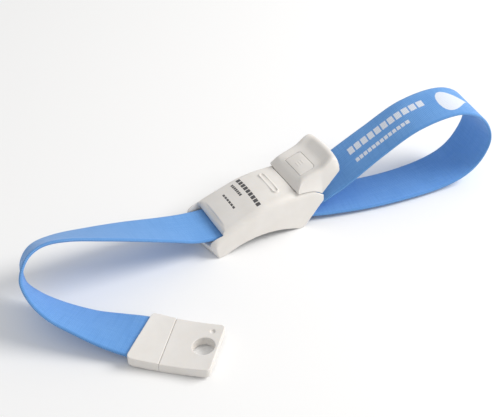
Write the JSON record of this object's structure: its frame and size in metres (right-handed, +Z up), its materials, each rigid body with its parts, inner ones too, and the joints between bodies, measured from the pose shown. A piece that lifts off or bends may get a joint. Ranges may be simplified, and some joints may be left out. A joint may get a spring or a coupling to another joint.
{
  "type": "quick-release tourniquet",
  "caption": "Blood-draw tourniquet: a woven elastic band runs through a hinged quick-release buckle, returns as a pull loop, and ends in a flat plug-in clip.",
  "frame": {"origin": "centre of the front resting land on the buckle's underside, on the floor", "axes": "+X from the buckle's front slot to its lever and on to the pull loop, +Y across the buckle away from the clip, +Z up"},
  "size_m": [0.2524, 0.0981, 0.0498],
  "materials": {
    "ivory_plastic": "satin moulded",
    "inner_plastic": "moulded",
    "blue_elastic": "woven",
    "bright_steel": "bright"
  },
  "bodies": {
    "base": {"housing_shell": "ivory_plastic", "base_plate": "inner_plastic", "base_screw_front_near": "bright_steel", "base_screw_front_far": "bright_steel", "base_screw_rear_near": "bright_steel", "base_screw_rear_far": "bright_steel", "guide_bar": "bright_steel", "anvil_plate": "bright_steel", "channel_plate": "bright_steel", "anchor_plate": "bright_steel", "anchor_screw_near": "bright_steel", "anchor_screw_far": "bright_steel", "lever_pin": "bright_steel", "lever_spring": "bright_steel", "latch_pin": "bright_steel", "latch_spring": "bright_steel", "elastic_band": "blue_elastic", "clip_body": "ivory_plastic", "clip_cover": "ivory_plastic", "clip_pin_near": "bright_steel", "clip_pin_far": "bright_steel"},
    "lever": {"release_lever": "ivory_plastic", "cam_jaw": "bright_steel", "button_spring": "bright_steel"},
    "button": {"release_button": "ivory_plastic"},
    "latch": {"latch_hook": "inner_plastic"}
  },
  "joints": [
    {"name": "lever_tilt", "type": "hinge", "parent": "base", "child": "lever", "pos_m": [0.031, 0, 0.0136], "axis": [0, -1, 0], "range_deg": [0, 8], "stiffness_Nm_per_rad": 0.05},
    {"name": "button_press", "type": "slide", "parent": "lever", "child": "button", "axis": [0, 0, -1], "range_m": [0, 0.0018], "stiffness_N_per_m": 300, "deforming": ["button_spring"]},
    {"name": "latch_rock", "type": "hinge", "parent": "base", "child": "latch", "pos_m": [0.05, 0, 0.0163], "axis": [0, 1, 0], "range_deg": [0, 16]}
  ],
  "couplings": [
    {"joint": "latch_rock", "follows": "button_press", "rad_per_m": 155}
  ]
}
